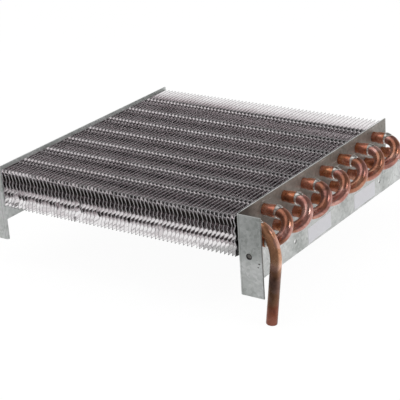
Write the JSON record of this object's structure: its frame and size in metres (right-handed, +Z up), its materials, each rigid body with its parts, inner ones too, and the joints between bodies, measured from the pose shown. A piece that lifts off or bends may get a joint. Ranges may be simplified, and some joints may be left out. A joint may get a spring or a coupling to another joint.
{
  "type": "finned condenser coil",
  "caption": "Air-cooled refrigerant coil: a copper serpentine of hairpins and return bends through a flat pack of thin aluminium fins between two folded steel end plates.",
  "frame": {"origin": "midway between the two screw holes of the front flanges, on the flanges' front face", "axes": "+X right along the tubes towards the return bends, +Y back through the depth of the fins, +Z up"},
  "size_m": [0.3139, 0.2858, 0.095],
  "materials": {
    "steel": "galvanised sheet, satin, with faint spangle and scuffs",
    "aluminium": "bare bright foil with a corrugated face",
    "copper": "bare copper, darkened by brazing heat near the joints",
    "brazing_metal": "pale silver brazing metal",
    "paper": "blank white paper"
  },
  "bodies": {
    "root": {"blank_labels": "paper", "brazing_rings": "brazing_metal", "end_plate_left": "steel", "end_plate_right": "steel", "fins": "aluminium", "hairpin_1": "copper", "hairpin_2": "copper", "hairpin_3": "copper", "hairpin_4": "copper", "hairpin_5": "copper", "hairpin_6": "copper", "hairpin_7": "copper", "hairpin_8": "copper", "inlet_pipe": "copper", "outlet_pipe": "copper", "return_bend_1": "copper", "return_bend_2": "copper", "return_bend_3": "copper", "return_bend_4": "copper", "return_bend_5": "copper", "return_bend_6": "copper", "return_bend_7": "copper"}
  },
  "joints": []
}
